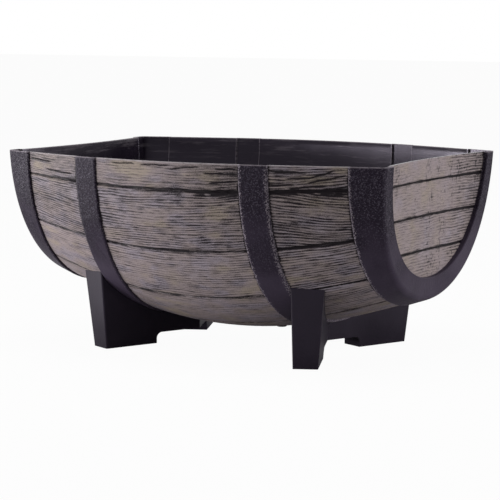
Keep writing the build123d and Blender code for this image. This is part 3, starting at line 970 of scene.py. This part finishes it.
# Pads in the floor: those under the screws' washers, and those round the drain holes
PAD_RADIUS = 0.009
PAD_RAISE = 0.004
SHELL_HOLE = 0.00275
DRAIN_PAD_RADIUS = 0.016
DRAIN_PAD_RAISE = 0.0018
DRAIN_HOLE = 0.009
PAD_EDGE = 0.0005           # rounded outer edge, and chamfer of the hole
PAD_SINK = 0.001            # how far the pads run into the floor
PAD_SIDES = 64
PAD_TURN = np.linspace(0, np.pi / 2, 5)


def pads(name, seats, raise_by, hole, radius):
    """Flat rings on the trough's floor, one at each seat (x, y, inset of the floor there),
    with a rounded outer edge and an underside that follows the floor inside its wall."""
    outer = radius - PAD_EDGE + PAD_EDGE * np.sin(PAD_TURN)
    reach = np.concatenate(([hole, hole, hole + PAD_EDGE], outer, [radius]))
    fall = np.concatenate(([0, PAD_EDGE, 0], PAD_EDGE * (1 - np.cos(PAD_TURN)), [0]))
    cosine, sine = circle(PAD_SIDES).T[..., None]
    faces, points = [], []
    for number, (x, y, inset) in enumerate(seats):
        ring_x, ring_y = x + reach * cosine, y + reach * sine
        top = surface_height(x, y, INSIDE_INSET) + raise_by
        z = np.broadcast_to(top - fall, ring_x.shape).copy()
        for column in (0, -1):
            z[:, column] = surface_height(ring_x[:, column], ring_y[:, column],
                                          inset - PAD_SINK)
        index = numbered(*z.shape, number * z.size)
        faces.append(quads(np.pad(index, ((0, 1), (0, 1)), mode="wrap")).reshape(-1, 4))
        points.append(np.stack((ring_x, ring_y, z), axis=-1).reshape(-1, 3))
    return new_piece(name, np.concatenate(points), faces, [INSIDE], [0] * len(faces))


DRAIN_SIDES = 48
CUTTER_HEIGHT = 0.1


def cut_drain_holes(panel):
    """Cuts the drain holes out of a panel with upright cylinders."""
    ring = circle(DRAIN_SIDES) * DRAIN_HOLE
    points, sides, caps = [], [], []
    for number, x in enumerate(DRAIN_PLACES):
        for z in (0.0, CUTTER_HEIGHT):
            points.append(np.column_stack((ring + (x, 0.0), np.full(DRAIN_SIDES, z))))
        low = np.arange(DRAIN_SIDES) + number * 2 * DRAIN_SIDES
        high = low + DRAIN_SIDES
        sides.append(np.stack((low, np.roll(low, -1), np.roll(high, -1), high), axis=-1))
        caps += [low[None, ::-1], high[None, :]]
    cutter = new_piece("drain_cutter", np.concatenate(points), sides + caps, [INSIDE],
                       [0] * (len(sides) + len(caps)))
    cut = panel.modifiers.new("drain_holes", "BOOLEAN")
    cut.operation = "DIFFERENCE"
    cut.solver = "EXACT"
    cut.object = cutter
    graph = bpy.context.evaluated_depsgraph_get()
    shape = bpy.data.meshes.new_from_object(panel.evaluated_get(graph))
    panel.modifiers.remove(cut)
    panel.data = shape
    bpy.data.objects.remove(cutter)


for piece in pieces:
    if piece.name.startswith("staves_middle"):
        cut_drain_holes(piece)

arm_seats = [(sign * ARM_SCREW[0], side * ARM_SCREW[1], WALL)
             for sign in (-1, 1) for side in (-1, 1)]
vertex_seats = [(sign * FOOT_VERTEX, 0.0, INSIDE_INSET) for sign in (-1, 1)]
drain_seats = [(x, 0.0, INSIDE_INSET) for x in DRAIN_PLACES]
pieces.append(pads("washer_pads", arm_seats + vertex_seats, PAD_RAISE, SHELL_HOLE, PAD_RADIUS))
pieces.append(pads("drain_pads", drain_seats, DRAIN_PAD_RAISE, DRAIN_HOLE, DRAIN_PAD_RADIUS))

for piece in pieces:
    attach(piece, "planter")
    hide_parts("trough_shell")


# Finishes of the nodes whose own shapes stay
CAD_FINISH = {f"drain_bung_{place}": RUBBER for place in ("left", "middle", "right")}
for side in ("left", "right"):
    CAD_FINISH[f"{side}_foot"] = FOOT
    CAD_FINISH[f"{side}_foot_screws"] = STEEL
    CAD_FINISH[f"{side}_foot_washers"] = RUBBER
for node, finish in CAD_FINISH.items():
    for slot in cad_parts[node].material_slots:
        slot.material = finish


FLOOR_SIZE = 30.0
FLOOR_GREY = (0.80, 0.80, 0.80, 1)
FLOOR_WHITE = 0.96          # share of plain white in what the camera sees
ROOM_LIGHT = 0.20           # light of the room on the object


def pale_floor():
    """Floor that a camera sees nearly white, with a faint shadow left in it."""
    f = Finish("pale_floor")
    seen = f.node("ShaderNodeLightPath").outputs["Is Camera Ray"]
    diffuse = f.node("ShaderNodeBsdfDiffuse", {"Color": FLOOR_GREY}).outputs[0]
    glow = f.node("ShaderNodeEmission").outputs[0]
    mixed = f.node("ShaderNodeMixShader",
                   {0: f.product(seen, FLOOR_WHITE), 1: diffuse, 2: glow}).outputs[0]
    f.feed(f.tree.nodes["Material Output"].inputs[0], mixed)
    f.tree.nodes.remove(f.shader)
    return f.material


def light_room(world):
    """White to the camera, in reflections and through glass, and dim as a light."""
    world.use_nodes = True
    nodes, links = world.node_tree.nodes, world.node_tree.links
    background = nodes["Background"]
    path = nodes.new("ShaderNodeLightPath")
    seen = path.outputs["Is Camera Ray"]
    for ray in ("Is Glossy Ray", "Is Transmission Ray"):
        either = nodes.new("ShaderNodeMath")
        either.operation = "MAXIMUM"
        links.new(seen, either.inputs[0])
        links.new(path.outputs[ray], either.inputs[1])
        seen = either.outputs[0]
    level = nodes.new("ShaderNodeMapRange")
    level.inputs["To Min"].default_value = ROOM_LIGHT
    level.inputs["To Max"].default_value = 1.0
    links.new(seen, level.inputs["Value"])
    links.new(level.outputs[0], background.inputs["Strength"])
    background.inputs["Color"].default_value = (1, 1, 1, 1)


bpy.ops.mesh.primitive_plane_add(size=FLOOR_SIZE, location=(0, 0, 0))
floor = bpy.context.object
floor.name = "floor"
floor.data.materials.append(pale_floor())

world = bpy.data.worlds.new("pale_room")
bpy.context.scene.world = world
light_room(world)

LAMP_DISTANCE = 2.6
LAMP_AIM = 0.2              # height that the lamps face
# Softboxes: azimuth and elevation in degrees, size in metres and power in watts
SOFTBOXES = (
    ("left_softbox", -65, 3.5, (2.3, 0.36), 62),
    ("front_left_softbox", -33, 3.5, (0.9, 0.30), 10),
    ("right_softbox", 111, 8, (1.3, 0.5), 32),
    ("top_light", 0, 85, (1.6, 1.0), 22),
)


def softbox(name, azimuth, elevation, size, power):
    """Rectangular lamp that faces the planter from an azimuth, to the right of the front,
    and an elevation."""
    lamp = bpy.data.lights.new(name, "AREA")
    lamp.shape = "RECTANGLE"
    lamp.size, lamp.size_y = size
    lamp.energy = power
    holder = bpy.data.objects.new(name, lamp)
    a, e = math.radians(azimuth), math.radians(elevation)
    holder.location = (LAMP_DISTANCE * math.sin(a) * math.cos(e),
                       -LAMP_DISTANCE * math.cos(a) * math.cos(e),
                       LAMP_AIM + LAMP_DISTANCE * math.sin(e))
    holder.rotation_euler = (math.pi / 2 - e, 0, a)
    bpy.context.scene.collection.objects.link(holder)


for lamp in SOFTBOXES:
    softbox(*lamp)

CAMERA_PLACE = (1.65652, -2.77473, 0.56255)
CAMERA_DOWN = 7.151         # degrees below level
CAMERA_TURN = 30.857        # degrees to the left of straight ahead
CAMERA_LENS = 141.16        # millimetres, on a sensor this wide
CAMERA_SENSOR = 36.0

camera_data = bpy.data.cameras.new("camera")
camera_data.lens = CAMERA_LENS
camera_data.sensor_width = CAMERA_SENSOR
camera = bpy.data.objects.new("camera", camera_data)
camera.location = CAMERA_PLACE
camera.rotation_euler = (math.radians(90 - CAMERA_DOWN), 0, math.radians(CAMERA_TURN))
bpy.context.scene.collection.objects.link(camera)
bpy.context.scene.camera = camera
bpy.context.scene.view_settings.view_transform = "Standard"
